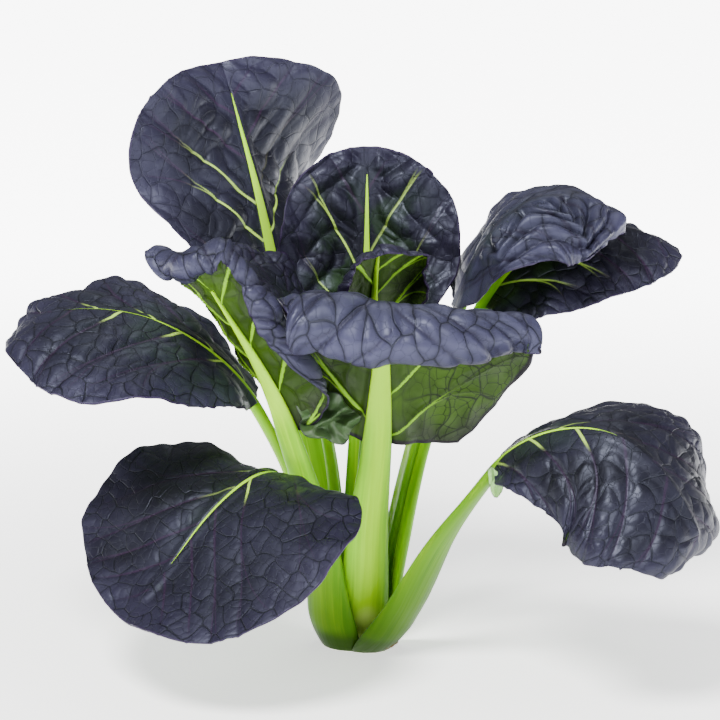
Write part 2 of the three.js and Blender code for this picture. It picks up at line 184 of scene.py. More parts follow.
def upperMaterial():
    look = upperLook
    material, tree = startMaterial("bladeUpper")
    place = readVector(tree, "place")
    margin = readFloat(tree, "margin")
    wander = noise(tree, place, 34, 5)
    color = mixTone(tree, span(tree, wander, 0.35, 0.7), look["deep"], look["worn"])
    patch = span(tree, noise(tree, place, 75, 4), 0.42, 0.58)
    color = mixTone(tree, calc(tree, "MULTIPLY", readFloat(tree, "green"), patch), color, look["green"])
    # lighter towards the margin
    color = mixTone(tree, span(tree, margin, 2, 30, 0.32, 0.0), color, look["marginTone"])
    netShow = readFloat(tree, "netShow")
    # painted shade in the grooves between the cushions, where pillow is low
    grooveShade = calc(tree, "MULTIPLY", span(tree, readFloat(tree, "pillow"), 0.0, 0.3, 0.35, 0.0), netShow)
    color = mixTone(tree, grooveShade, color, look["netAndGrooveShade"])
    # painted highlight on the tops of the cushions, as strong as the leaf's sheen
    crestHighlight = calc(tree, "MULTIPLY", span(tree, readFloat(tree, "pillow"), -0.5, 0.9), readFloat(tree, "puckerHighlight"))
    color = mixTone(tree, crestHighlight, color, look["crestHighlight"])
    scuff = span(tree, noise(tree, place, 42, 6), 0.7, 0.78, 0.0, 0.3)
    color = mixTone(tree, scuff, color, look["scuff"])
    lines = netLines(tree, look)
    # dark net lines: partly the veins' own dark colour and partly painted shade in their sunken grooves
    color = mixTone(tree, calc(tree, "MULTIPLY", lines, netShow), color, look["netAndGrooveShade"])
    vein = mixTone(tree, readFloat(tree, "paleness"), look["veinDim"], look["veinPale"])
    line = veinLine(tree, look["veinHalf"], look["veinReach"])
    color = mixTone(tree, calc(tree, "MULTIPLY", line, readFloat(tree, "veinShow")), color, vein)
    color = mixTone(tree, span(tree, margin, 0.1, 1.1, 0.55, 0.0), color, look["rim"])
    grain = noise(tree, place, look["grain"], 3)
    roughness = span(tree, noise(tree, place, 120), 0.3, 0.7, *look["shine"])
    wrinkle = noise(tree, place, look["wrinkle"], 4)
    height = calc(tree, "SUBTRACT", calc(tree, "ADD", calc(tree, "MULTIPLY", grain, 0.25), wrinkle), lines)
    finishMaterial(tree, color, roughness, height, look["bump"], **{
        "Specular IOR Level": look["gloss"], "Specular Tint": look["glossTint"]})
    return material

underLook = dict(
    leaf=tone(34, 56, 3), pale=tone(52, 80, 8), dark=tone(14, 24, 5), vein=tone(120, 172, 26),
    rim=tone(16, 9, 22), purple=tone(36, 34, 34), cellLine=(0.26, 0.95), smallLine=(0.2, 0.85),
    veinHalf=(0.42, 0.14), veinReach=30, grain=700, bump=0.0002, shine=(0.45, 0.6), gloss=0.2,
)

def underMaterial():
    look = underLook
    material, tree = startMaterial("bladeUnder")
    place = readVector(tree, "place")
    margin = readFloat(tree, "margin")
    color = mixTone(tree, span(tree, noise(tree, place, 45, 5), 0.3, 0.7), look["leaf"], look["pale"])
    stain = span(tree, noise(tree, place, 60), 0.35, 0.65)
    stain = calc(tree, "MULTIPLY", span(tree, margin, 2, 22, 0.8, 0.0), stain)
    color = mixTone(tree, stain, color, look["purple"])
    # painted shade in the grooves between the cushions, where pillow is low
    color = mixTone(tree, span(tree, readFloat(tree, "pillow"), 0.0, 0.35, 0.3, 0.0), color, look["dark"])
    ribSide = readFloat(tree, "ribSide")
    lines = calc(tree, "MULTIPLY", netLines(tree, look), span(tree, ribSide, 1, 24, 0.15, 1.0))
    color = mixTone(tree, lines, color, look["dark"])
    vein = mixTone(tree, span(tree, ribSide, 8, 34), look["vein"], look["dark"])
    color = mixTone(tree, veinLine(tree, look["veinHalf"], look["veinReach"]), color, vein)
    color = mixTone(tree, span(tree, margin, 1.3, 2.6, 1.0, 0.0), color, look["rim"])
    roughness = span(tree, noise(tree, place, 160), 0.3, 0.7, *look["shine"])
    height = calc(tree, "SUBTRACT", calc(tree, "MULTIPLY", noise(tree, place, look["grain"], 3), 0.4), lines)
    finishMaterial(tree, color, roughness, height, look["bump"], **{"Specular IOR Level": look["gloss"]})
    return material

stalkLook = dict(
    # pale is the tone of the pale fibres and of the pale middle, which is partly a painted highlight
    bright=tone(134, 204, 0), pale=tone(178, 228, 10), deep=tone(92, 166, 0), rib=tone(158, 212, 24),
    # base is the tone of the painted shade
    tip=tone(30, 18, 36), base=tone(42, 72, 0), white=tone(206, 228, 120), fibre=(900, 22, 1),
    streak=(220, 12, 1), bump=0.0002, shine=(0.3, 0.45), gloss=0.08, glow=0.12, glowDepth=0.003,
    glowTint=(0.6, 1, 0.2),
)

def stalkMaterial():
    look = stalkLook
    material, tree = startMaterial("stalkSkin")
    place = readVector(tree, "place")
    middle = readFloat(tree, "middle")
    fibre = noise(tree, stretched(tree, place, look["fibre"]), 1, 3)
    streak = noise(tree, stretched(tree, place, look["streak"]), 1, 2)
    color = mixTone(tree, span(tree, streak, 0.3, 0.7), look["bright"], look["deep"])
    color = mixTone(tree, span(tree, fibre, 0.45, 0.75, 0.0, 0.5), color, look["pale"])
    # pale middle: partly the stalk's own paler colour and partly a painted highlight, as much as pallor says
    color = mixTone(tree, calc(tree, "MULTIPLY", middle, readFloat(tree, "paleAndHighlight")), color, look["pale"])
    # painted shade in the base tone, where the shade attribute says
    color = mixTone(tree, readFloat(tree, "shade"), color, look["base"])
    color = mixTone(tree, readFloat(tree, "footPatch"), color, look["white"])
    color = mixTone(tree, span(tree, readFloat(tree, "onRib"), 0.0, 0.25), color, look["rib"])
    color = mixTone(tree, readFloat(tree, "fade"), color, look["tip"])
    roughness = span(tree, fibre, 0.3, 0.7, *look["shine"])
    finishMaterial(tree, color, roughness, fibre, look["bump"], **{
        "Subsurface Weight": look["glow"], "Subsurface Scale": look["glowDepth"],
        "Subsurface Radius": look["glowTint"], "Specular IOR Level": look["gloss"]})
    return material

cutLook = dict(pith=tone(150, 140, 88), flesh=tone(214, 220, 170), brown=tone(128, 104, 62), spots=420)

def cutMaterial():
    look = cutLook
    material, tree = startMaterial("cutFace")
    place = addNode(tree, "ShaderNodeTexCoord").outputs["Object"]
    spots = span(tree, net(tree, place, look["spots"]), 0.0, 0.2)
    color = mixTone(tree, spots, look["pith"], look["flesh"])
    color = mixTone(tree, span(tree, noise(tree, place, 160), 0.5, 0.75, 0.0, 0.7), color, look["brown"])
    finishMaterial(tree, color, span(tree, spots, 0, 1, 0.6, 0.75), spots, 0.0003)
    return material

scarLook = dict(dark=tone(70, 46, 24), pale=tone(128, 96, 50), grain=1500)

def scarMaterial():
    look = scarLook
    material, tree = startMaterial("scar")
    place = addNode(tree, "ShaderNodeTexCoord").outputs["Object"]
    grain = noise(tree, place, look["grain"])
    color = mixTone(tree, grain, look["dark"], look["pale"])
    finishMaterial(tree, color, span(tree, grain, 0.3, 0.7, 0.6, 0.8), grain, 0.0002)
    return material

scrapLook = dict(dark=tone(3, 9, 5), green=tone(15, 38, 18), pale=tone(126, 172, 96), rim=tone(22, 16, 30))

def scrapMaterial():
    look = scrapLook
    material, tree = startMaterial("scrap")
    place = readVector(tree, "place")
    grain = noise(tree, place, 260, 4)
    color = mixTone(tree, span(tree, grain, 0.35, 0.65), look["dark"], look["green"])
    color = mixTone(tree, readFloat(tree, "paleness"), color, look["pale"])
    color = mixTone(tree, span(tree, readFloat(tree, "margin"), 0.1, 0.5, 0.8, 0.0), color, look["rim"])
    finishMaterial(tree, color, span(tree, grain, 0.3, 0.7, 0.45, 0.6), grain, 0.0004)
    return material

bladeUpper = upperMaterial()
bladeUnder = underMaterial()
stalkSkin = stalkMaterial()
cutFace = cutMaterial()
scarSkin = scarMaterial()
scrapSkin = scrapMaterial()
print("materials made")


# Shape of a leaf, in mm, by the same rules as the CAD solids

leafRules = dict(
    thickness=1.0, slitGap=0.7, crownRadius=9, crownHeight=16, heelLength=22, heelTuck=7, heelNarrowing=0.5,
    seatDepth=5, ribTaper=1.6, ribTipHalf=0.7, ribTipThick=1.5, ribProud=0.5, lipStep=0.05, channel=0.35,
    stalkThick=(4.5, 7, 6, 5), stalkCup=(0.4, 0.16, 0.06, 0), ribRise=0.6, spare=1.12, window=7,
    reliefStart=8, swell=1.2, swellAlong=13, swellAcross=15, swellTurn=1.7, swellFull=12, arcSteps=24,
)

# The finer relief that only the scene has, in mm. ripple is the height and number of the small waves of the
# margin. dome is how much of a cell its rounded shoulder takes, and smallCell, smallHeight and smallReach are
# the width, height and shoulder of the small cells in it. lumpAlong and lumpAcross are the lengths of the
# lumps, warp and fineWarp how far the lines between cells bend. shoulder is how high the sheet stands and how
# much more over the midrib, dive where its middle runs inside the midrib, sheet its thickness and the share
# of it between the side veins, ridgeReach how far out a side vein thickens it.
reliefRules = dict(
    ripple=(0.35, 31), quiltMean=1.2, cushionMean=0.6, smallCell=0.45, smallHeight=0.08, smallReach=0.2,
    dome=0.42, lumpAlong=(6, 9), lumpAcross=(5.4, 8), warp=1.6, fineWarp=0.7, shoulder=(0.4, 0.75),
    dive=1.15, sheet=(1.4, 0.6), ridgeReach=1.2,
)

# Painted shade on a stalk, in its darker shade tone: over fall mm from its foot, in the last foot mm, and
# at its sides. The white patch has its middle patchRise mm up, and ribs are the height and number of the
# fine ribs outside.
stalkRules = dict(fall=70, foot=16, footShare=0.6, sideShare=0.55, patchHalf=0.7, patchRise=14,
                  ribs=(0.04, 19))

def ease(share, low=0.0, high=1.0):
    part = np.clip((share - low) / (high - low), 0, 1)
    return part * part * (3 - 2 * part)

def along(values, share, eased=False):
    place = np.clip(share, 0, 1) * (len(values) - 1)
    step = np.minimum(place.astype(int), len(values) - 2)
    part = place - step
    table = np.asarray(values, float)
    return table[step] + (table[step + 1] - table[step]) * (ease(part) if eased else part)

def midline(leaf):
    rules = leafRules
    steps = int(leaf["stalk"] + leaf["blade"] * rules["spare"] + 0.5) + 1
    u = np.arange(steps, dtype=float)
    onStalk = u < leaf["stalk"]
    t = np.where(onStalk, u / leaf["stalk"], (u - leaf["stalk"]) / leaf["blade"])
    def heading(stalkValues, bladeValues):
        raw = np.where(onStalk, along(stalkValues, t), along(bladeValues, t))
        soft = np.pad(raw, rules["window"], mode="edge")
        width = 2 * rules["window"] + 1
        return np.radians(np.convolve(soft, np.ones(width) / width, "valid"))
    rise = heading(leaf["stalkRise"], (leaf["stalkRise"][-1], *leaf["bladeRise"]))
    swing = heading((0, *leaf["stalkSwing"]), (leaf["stalkSwing"][-1], *leaf["bladeSwing"]))
    roll = heading((0, leaf["roll"][0]), leaf["roll"])
    azimuth = math.radians(leaf["azimuth"]) + swing
    T = np.stack([np.cos(rise) * np.cos(azimuth), np.cos(rise) * np.sin(azimuth), np.sin(rise)], 1)
    N = np.stack([-np.sin(rise) * np.cos(azimuth), -np.sin(rise) * np.sin(azimuth), np.cos(rise)], 1)
    N = N * np.cos(roll)[:, None] + np.cross(T, N) * np.sin(roll)[:, None]
    B = np.cross(T, N)
    seat = math.radians(leaf["seat"][0])
    outward = np.array([math.cos(seat), math.sin(seat), 0])
    P = np.zeros((steps, 3))
    P[0] = outward * leaf["seat"][1] - np.array([0, 0, rules["seatDepth"]])
    P[1:] = P[0] + np.cumsum((T[1:] + T[:-1]) / 2, 0)
    P -= outward * (rules["heelTuck"] * np.maximum(0, 1 - u / rules["heelLength"]) ** 2)[:, None]
    return dict(P=P, T=T, N=N, B=B)

def frameAt(line, q):
    place = np.clip(q, 0, len(line["P"]) - 1)
    step = np.minimum(place.astype(int), len(line["P"]) - 2)
    part = (place - step)[:, None]
    found = {}
    for name, table in line.items():
        mixed = table[step] + (table[step + 1] - table[step]) * part
        found[name] = mixed if name == "P" else mixed / np.linalg.norm(mixed, axis=1)[:, None]
    return found

def stalkSection(leaf, q):
    rules = leafRules
    left = 1 - np.clip((q - leaf["stalk"]) / (leaf["blade"] * leaf["ribShare"]), 0, 1)
    t = np.clip(q / leaf["stalk"], 0, 1)
    onRib = q > leaf["stalk"]
    heel = 1 - rules["heelNarrowing"] * np.maximum(0, 1 - q / rules["heelLength"]) ** 2
    ribHalf = rules["ribTipHalf"] + (leaf["stalkWidth"][2] - rules["ribTipHalf"]) * left ** rules["ribTaper"]
    half = np.where(onRib, ribHalf, along(leaf["stalkWidth"], t) * heel)
    ribThick = rules["ribTipThick"] + (rules["stalkThick"][3] - rules["ribTipThick"]) * left
    thick = np.where(onRib, ribThick, along(rules["stalkThick"], t))
    cup = np.where(onRib, 0, along(rules["stalkCup"], t))
    channel = rules["channel"] * (1 - ease(t, 0.8, 1))
    drop = (thick / 2 - rules["thickness"] / 2 - rules["ribProud"]) * ease(t, rules["ribRise"])
    return half, thick, cup, channel, drop

# distance in mm to the nearest line between rounded cells, twice, with signs that change across the line,
# so that it stays thin however coarse the mesh is
def cellEdges(a, b, size, seed):
    shifts = np.random.default_rng(seed).uniform(0.15, 0.85, (64, 64, 2))
    u, v = a / size, b / size
    col, row = np.floor(u).astype(int), np.floor(v).astype(int)
    def site(i, j):
        shift = shifts[(col + i) % 64, (row + j) % 64]
        return col + i + shift[:, 0] - u, row + j + shift[:, 1] - v
    near = np.full(a.shape, 1e9)
    home = [np.zeros(a.shape) for _ in range(4)]
    for i in range(-1, 2):
        for j in range(-1, 2):
            du, dv = site(i, j)
            closer = du * du + dv * dv < near
            near = np.where(closer, du * du + dv * dv, near)
            home = [np.where(closer, new, old) for new, old in zip((du, dv, col + i, row + j), home)]
    edge = np.full(a.shape, 1e9)
    for i in range(-2, 3):
        for j in range(-2, 3):
            du, dv = site(i, j)
            apart = np.hypot(du - home[0], dv - home[1])
            halfWay = (du * du + dv * dv - near) / (2 * np.maximum(apart, 1e-6))
            edge = np.where(apart > 1e-6, np.minimum(edge, halfWay), edge)
    edge *= size
    return edge * (1 - 2 * (home[2] % 2)), edge * (1 - 2 * (home[3] % 2))

def dome(reach, full):
    return 1 - (1 - np.clip(reach / full, 0, 1)) ** 2

# coordinates in which every whole number is a side vein, and the space between veins in mm
def sideVeins(leaf, a, b):
    out = np.abs(b)
    draw = np.random.default_rng(leaf["seed"])
    count = leaf["veins"]
    main, lane, origin = (np.zeros(a.shape) for _ in range(3))
    for side in (-1, 1):
        starts = (np.arange(count + 6) - 3 + 0.2 * side) * leaf["blade"] / count
        starts += draw.uniform(-0.14, 0.14, count + 6) * leaf["blade"] / count
        slants = np.interp(starts / leaf["blade"], (-0.35, -0.05, 0.1, 0.5, 1), (-0.3, 0.7, 1, 0.85, 0.6))
        slants *= leaf["slant"]
        here = np.where(b < 0, -1, 1) == side
        place = starts[:, None] + slants[:, None] * out[here] + leaf["veinBend"] * out[here] ** 2
        k = np.clip((place < a[here]).sum(0) - 1, 0, count + 4)
        low = np.take_along_axis(place, k[None], 0)[0]
        high = np.take_along_axis(place, k[None] + 1, 0)[0]
        main[here] = k + (a[here] - low) / np.maximum(high - low, 1e-3)
        lane[here] = (high - low) / np.sqrt(1 + slants[k] ** 2)
        origin[here] = np.interp(main[here], np.arange(count + 6), starts)
    return main, lane, origin

# half width of the strip of midrib that the sheet leaves open at a
def shownStrip(leaf, a):
    part, start, end = leaf["ribShow"]
    half = stalkSection(leaf, leaf["stalk"] + np.maximum(a, 0))[0]
    share = a / leaf["blade"]
    shown = part * ease(share, start - 0.06, start) * (1 - ease(share, end - 0.3, end))
    return half * max(1, leaf["ribSlim"]) * shown

# a point of the open sheet: x runs from the midrib (0) to the margin (1), y from base to tip
def openPoint(leaf, line, side, x, y, strip=None):
    s = y * np.sqrt(1 - leaf["blunt"] * x * x / 2)
    t = x * np.sqrt(1 - leaf["blunt"] * y * y / 2)
    half = np.where(side < 0, *leaf["width"]).astype(float)
    a = leaf["blade"] * (s + 1) / 2 - np.where(side < 0, *leaf["lobe"]) * t * t * (1 - s)
    strip = shownStrip(leaf, a) if strip is None else strip
    b = np.maximum(t * half * (1 + leaf["egg"] * s), 0) + strip * (1 - t) * (x > 0)
    share = a / leaf["blade"]
    pick = lambda key: np.where(side < 0, *(along(row, share, True) for row in leaf[key]))
    fold, curl = pick("fold"), pick("curl")
    slope = lambda out: np.radians(fold + curl * np.clip(out / half, 0, 2))
    across, up = np.zeros(a.shape), np.zeros(a.shape)
    for k in range(leafRules["arcSteps"]):
        angle = slope(b * (k + 0.5) / leafRules["arcSteps"])
        across += np.cos(angle) * b / leafRules["arcSteps"]
        up += np.sin(angle) * b / leafRules["arcSteps"]
    angle = slope(b) * np.clip(b / leafRules["reliefStart"], 0, 1)
    found = frameAt(line, leaf["stalk"] + a)
    normal = found["N"] * np.cos(angle)[:, None] - found["B"] * (side * np.sin(angle))[:, None]
    point = found["P"] + found["B"] * (side * across)[:, None] + found["N"] * up[:, None]
    return dict(point=point, normal=normal, strip=strip, a=a, b=side * b, s=s, t=side * t)

def unit(vectors):
    return vectors / np.maximum(np.linalg.norm(vectors, axis=1), 1e-9)[:, None]

# the sheet with its margin rolled under where the leaf has a lip
def bladeShape(leaf, line, x, y):
    side = np.where(x < 0, -1, 1)
    x = np.abs(x)
    sheet = openPoint(leaf, line, side, x, y)
    width, radius, middle, reach, taper = leaf["lip"]
    ring = np.maximum(np.maximum(x, np.abs(y)), 1e-6)
    around = np.degrees(np.arctan2(np.abs(sheet["t"]) * side, sheet["s"])) - middle
    off = np.abs((around + 180) % 360 - 180)
    start = 1 - width * (1 - ease(off, reach - taper, reach))
    start = np.minimum(start, ring)
    first = openPoint(leaf, line, side, x * start / ring, y * start / ring, sheet["strip"])
    inner = start - leafRules["lipStep"]
    before = openPoint(leaf, line, side, x * inner / ring, y * inner / ring, sheet["strip"])
    outward = unit(first["point"] - before["point"])
    upward = unit(first["normal"] - outward * (first["normal"] * outward).sum(1)[:, None])
    turn = (np.linalg.norm(sheet["point"] - first["point"], axis=1) / radius)[:, None]
    rolled = first["point"] + (outward * np.sin(turn) + upward * (np.cos(turn) - 1)) * radius
    inLip = (ring > start)[:, None]
    sheet["point"] = np.where(inLip, rolled, sheet["point"])
    sheet["normal"] = np.where(inLip, upward * np.cos(turn) + outward * np.sin(turn), sheet["normal"])
    size = np.hypot(np.abs(sheet["t"]) * np.where(side < 0, *leaf["width"]), sheet["s"] * leaf["blade"] / 2)
    sheet["margin"] = size * (1 - ring) / np.maximum(ring, 1e-3)
    return sheet

def setFloat(mesh, name, values):
    layer = mesh.attributes.new(name, "FLOAT", "POINT")
    layer.data.foreach_set("value", np.asarray(values, np.float32))

def setVector(mesh, name, values):
    layer = mesh.attributes.new(name, "FLOAT_VECTOR", "POINT")
    layer.data.foreach_set("vector", np.asarray(values, np.float32).ravel())

def readPoints(mesh):
    values = np.empty(len(mesh.vertices) * 3, np.float32)
    mesh.vertices.foreach_get("co", values)
    return values.reshape(-1, 3).astype(float)

def showPiece(mesh, name, nodes):
    piece = bpy.data.objects.new(name, mesh)
    bpy.context.collection.objects.link(piece)
    mesh.shade_smooth()
    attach(piece, "root")
    if nodes:
        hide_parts(*nodes)
    return piece

# where a leaf has rounded folds along one margin, and their rise from 0 to 1
def creaseFolds(leaf, sheet):
    side, start, spacing = leaf["creases"][:3]
    a, b, margin = (sheet[key] for key in ("a", "b", "margin"))
    zone = ease(a / leaf["blade"], start, start + 0.2) * ease(side * b, -12, 4) * ease(margin, 0, 5)
    return zone, np.abs(np.sin(math.pi * (margin + 1.5 * np.sin(b / 6)) / spacing))

# the puckered relief of the upper side: waves at the margin, broad swells, panels between side veins,
# cushions, and folds where the leaf has creases
def bladeRelief(leaf, sheet, off, pillow, smallA, slit):
    rules = reliefRules
    a, b, s, t, margin = (sheet[key] for key in ("a", "b", "s", "t", "margin"))
    out = np.abs(b)
    waves, waveHeight, phase = leaf["ruffle"]
    edge = np.clip(np.hypot(s, t), 0, 1) ** 4
    lift = waveHeight * edge * np.sin(waves * np.arctan2(t, s) + phase)
    lift += rules["ripple"][0] * edge ** 3 * np.sin(rules["ripple"][1] * np.arctan2(t, s) + 3 * phase)
    swell = leafRules["swell"] * np.sin(a / leafRules["swellAlong"] + phase)
    swell *= np.sin(b / leafRules["swellAcross"] + leafRules["swellTurn"] * phase)
    lift += swell * np.clip(out / leafRules["swellFull"], 0, 1)
    panel = 2 * np.sqrt(np.clip(4 * off * (1 - off), 0, 1)) - rules["quiltMean"]
    lift += leaf["quilt"] * panel * ease(out, 2, 14)
    cushion = leaf["cushion"] * (pillow - rules["cushionMean"])
    cushion += rules["smallHeight"] * dome(np.abs(smallA), rules["smallReach"] * leaf["cell"])
    alongA, alongB = rules["lumpAlong"]
    acrossB, acrossA = rules["lumpAcross"]
    lump = np.sin(a / alongA + 2 * np.sin(b / alongB)) * np.sin(b / acrossB + 2 * np.sin(a / acrossA) + phase)
    lump = leaf["lump"] * (2 * np.abs(lump) ** 0.7 - 1) * (1 - 0.7 * ease(out, 10, 36))
    lift += (cushion + lump) * ease(out - slit, 0.5, 6) * ease(margin, -1, 4)
    if "creases" in leaf:
        zone, wave = creaseFolds(leaf, sheet)
        lift += leaf["creases"][3] * zone * (2 * wave - 1)
    return lift

# bends the straight lines between cells, in mm
def cellWarp(a, b, seed):
    broad, fine = reliefRules["warp"], reliefRules["fineWarp"]
    warpA = broad * np.sin(a / 6.1 + seed) * np.sin(b / 5.3 + 1) + fine * np.sin((a + b) / 2.9)
    warpB = broad * np.sin(b / 6.7 + seed) * np.sin(a / 5.1 + 2) + fine * np.sin((a - b) / 3.1)
    return warpA, warpB

def makeBlade(name, leaf, line):
    rules = reliefRules
    bm = bmesh.new()
    bmesh.ops.create_grid(bm, x_segments=leaf["columns"], y_segments=leaf["rows"], size=1)
    mesh = bpy.data.meshes.new(f"{name}Blade")
    bm.to_mesh(mesh)
    bm.free()
    flat = readPoints(mesh)
    # the first column beside the middle one stands at the edge of the strip of midrib that shows
    step = 1.84 / leaf["columns"]  # a little less than a column is wide
    x = np.sign(flat[:, 0]) * np.maximum(np.abs(flat[:, 0]) - step, 0) / (1 - step)
    sheet = bladeShape(leaf, line, x, flat[:, 1])
    a, b, s, t, margin = (sheet[key] for key in ("a", "b", "s", "t", "margin"))
    out = np.abs(b)
    ribEnd = leaf["blade"] * leaf["ribShare"]
    half, thick = stalkSection(leaf, leaf["stalk"] + np.maximum(a, 0))[:2]
    slit = (half * max(1, leaf["ribSlim"]) + leafRules["slitGap"]) * (a < ribEnd + 2)
    main, lane, origin = sideVeins(leaf, a, b)
    outShare = np.clip(out / np.where(b < 0, *leaf["width"]), 0, 1)
    low = main + 0.5 * ease(outShare, *leaf["forkLow"]) ** 1.3
    high = main - 0.45 * ease(outShare, *leaf["forkHigh"]) ** 1.3
    off = np.abs(main - np.round(main))
    toVein = np.minimum(off, np.minimum(np.abs(low - np.round(low)), np.abs(high - np.round(high)))) * lane
    warpA, warpB = cellWarp(a, b, leaf["seed"])
    cellA, cellB = cellEdges((a + warpA) * leaf["cellLong"], b + warpB, leaf["cell"], leaf["seed"])
    small = leaf["cell"] * rules["smallCell"]
    smallA, smallB = cellEdges(a + warpA * 0.6, b + warpB * 0.6, small, leaf["seed"] + 50)
    shoulder = rules["dome"] * leaf["cell"]
    pillow = np.minimum(dome(np.abs(cellA), shoulder), dome(toVein, shoulder))
    if "creases" in leaf:
        zone, wave = creaseFolds(leaf, sheet)
        pillow *= 1 - zone * (1 - dome(wave, 0.4))
    lift = bladeRelief(leaf, sheet, off, pillow, smallA, slit)
    # the sheet rises over the shoulders of the midrib, and its middle runs inside it where a strip shows
    cover = (1 - ease(out - slit, -0.5, 2.5)) * (1 - ease(a, ribEnd + 1, ribEnd + 5))
    stand, rise = rules["shoulder"]
    lift = lift * (1 - cover) + stand + cover * rise
    inRib = (np.abs(flat[:, 0]) < 1e-4) & (sheet["strip"] > 0.12)
    lift = np.where(inRib, rules["dive"] - thick / 2, lift)
    point = sheet["point"] + sheet["normal"] * lift[:, None]
    mesh.vertices.foreach_set("co", (point * mm).astype(np.float32).ravel())
    share = a / leaf["blade"]
    green = leaf["green"][0] * (1 - ease(out / leaf["green"][1])) * (1 - ease(share / leaf["green"][2]))
    reach, top = leaf["pale"]
    paleness = (1 - ease(out, reach * 0.5, reach)) * (1 - ease(origin / leaf["blade"], top - 0.12, top))
    veinShow = leaf["veinShow"] * ease(margin, 2, 16) * (0.3 + 0.7 * paleness)
    setVector(mesh, "place", np.stack([a, b, np.full(a.shape, leaf["seed"] * 7.0)], 1) * mm)
    # sheen carries the strength of the painted highlight on the cushions
    floats = dict(
        puckerHighlight=np.full(a.shape, leaf["puckerHighlight"]), netShow=np.full(a.shape, leaf["netShow"]), veinMain=main,
        veinLow=low, veinHigh=high, lane=lane, pillow=pillow, margin=margin,
        ribSide=np.maximum(out - slit, 0), green=green, paleness=paleness, veinShow=veinShow,
        cellA=cellA, cellB=cellB, smallA=smallA, smallB=smallB,
    )
    for label, values in floats.items():
        setFloat(mesh, label, values)
    for material in (bladeUpper, bladeUnder, bladeUpper):
        mesh.materials.append(material)
    piece = showPiece(mesh, f"{name}Blade", [f"blade_{leaf['node']}"])
    ridge = piece.vertex_groups.new(name="ridge")
    weights = np.clip(1 - toVein / rules["ridgeReach"], 0, 1) * ease(margin, 0, 20)
    for k in range(11):
        level = np.nonzero(np.round(weights * 10) == k)[0]
        ridge.add(level.tolist(), k / 10, "REPLACE")
    solid = piece.modifiers.new("thickness", "SOLIDIFY")
    solid.thickness = rules["sheet"][0] * mm
    solid.offset = -1
    solid.vertex_group = "ridge"
    solid.thickness_vertex_group = rules["sheet"][1]
    solid.material_offset = 1
    solid.material_offset_rim = 2

def makeStalk(name, leaf, line):
    rules = stalkRules
    bm = bmesh.new()
    bmesh.ops.create_cone(bm, cap_ends=True, segments=leaf["sides"], radius1=1, radius2=1, depth=2)
    upright = [e for e in bm.edges if abs(e.verts[0].co.z - e.verts[1].co.z) > 1]
    bmesh.ops.subdivide_edges(bm, edges=upright, cuts=leaf["rings"])
    mesh = bpy.data.meshes.new(f"{name}Stalk")
    bm.to_mesh(mesh)
    ring = readPoints(mesh)
    ribLength = leaf["blade"] * leaf["ribShare"]
    q = (ring[:, 2] + 1) / 2 * (leaf["stalk"] + ribLength)
    found = frameAt(line, q)
    half, thick, cup, channel, drop = stalkSection(leaf, q)
    half *= 1 + (leaf["ribSlim"] - 1) * ease(q, leaf["stalk"] - 4, leaf["stalk"] + 12)
    x, z = ring[:, 0], ring[:, 1]
    foot = np.clip(1 - q / leaf["stalk"], 0, 1)
    dent = np.where(z > 0, 1 - channel * (1 - x * x), 1)
    ribHeight, ribCount = rules["ribs"]
    ribs = 1 + ribHeight * np.sin(x * ribCount + leaf["seed"]) * ease(-z, -0.2, 0.3) * foot
    out = thick / 2 * z * dent * ribs + cup * half * x * x - drop
    point = found["P"] + found["B"] * (half * x)[:, None] + found["N"] * out[:, None]
    mesh.vertices.foreach_set("co", (point * mm).astype(np.float32).ravel())
    setVector(mesh, "place", np.stack([half * x, q, z * 3 + leaf["seed"] * 31], 1) * mm)
    # middle weights the pale middle, which is partly a painted highlight
    setFloat(mesh, "middle", (1 - x * x) ** 2 * np.where(z < 0, 1, 0.6))
    setFloat(mesh, "paleAndHighlight", np.full(q.shape, leaf["paleAndHighlight"]))
    # painted shade: towards the foot, all over by deepen, in the last mm of the foot and at the sides
    shade = leaf["shade"] * np.clip(1 - q / rules["fall"], 0, 1) + leaf["allOverShade"]
    shade += rules["footShare"] * np.clip(1 - q / rules["foot"], 0, 1)
    setFloat(mesh, "shade", np.clip(np.maximum(shade, rules["sideShare"] * np.abs(x) ** 4), 0, 1))
    patch = np.hypot(x / rules["patchHalf"], (q - rules["patchRise"]) / rules["patchRise"])
    setFloat(mesh, "footPatch", leaf["footPatch"] * (1 - ease(patch, 0.4, 1)) * (z < 0))
    ribPlace = np.clip((q - leaf["stalk"]) / ribLength, 0, 1)
    setFloat(mesh, "onRib", ribPlace)
    fadeEnd = leaf["ribShow"][2] / leaf["ribShare"]
    setFloat(mesh, "fade", ease(ribPlace, fadeEnd - 0.2, fadeEnd))
    bm.clear()
    bm.from_mesh(mesh)
    cut = bmesh.ops.bisect_plane(bm, geom=bm.verts[:] + bm.edges[:] + bm.faces[:], dist=1e-6,
                                 plane_co=(0, 0, 0), plane_no=(0, 0, 1), clear_inner=True)
    edges = [e for e in cut["geom_cut"] if isinstance(e, bmesh.types.BMEdge)]
    for face in bmesh.ops.contextual_create(bm, geom=edges)["faces"]:
        face.material_index = 1
    bmesh.ops.recalc_face_normals(bm, faces=bm.faces[:])
    bm.to_mesh(mesh)
    bm.free()
    for material in (stalkSkin, cutFace):
        mesh.materials.append(material)
    showPiece(mesh, f"{name}Stalk", [f"stalk_{leaf['node']}"])

def growLeaf(name, leaf):
    line = midline(leaf)
    makeStalk(name, leaf, line)
    makeBlade(name, leaf, line)
    print("leaf grown:", name)


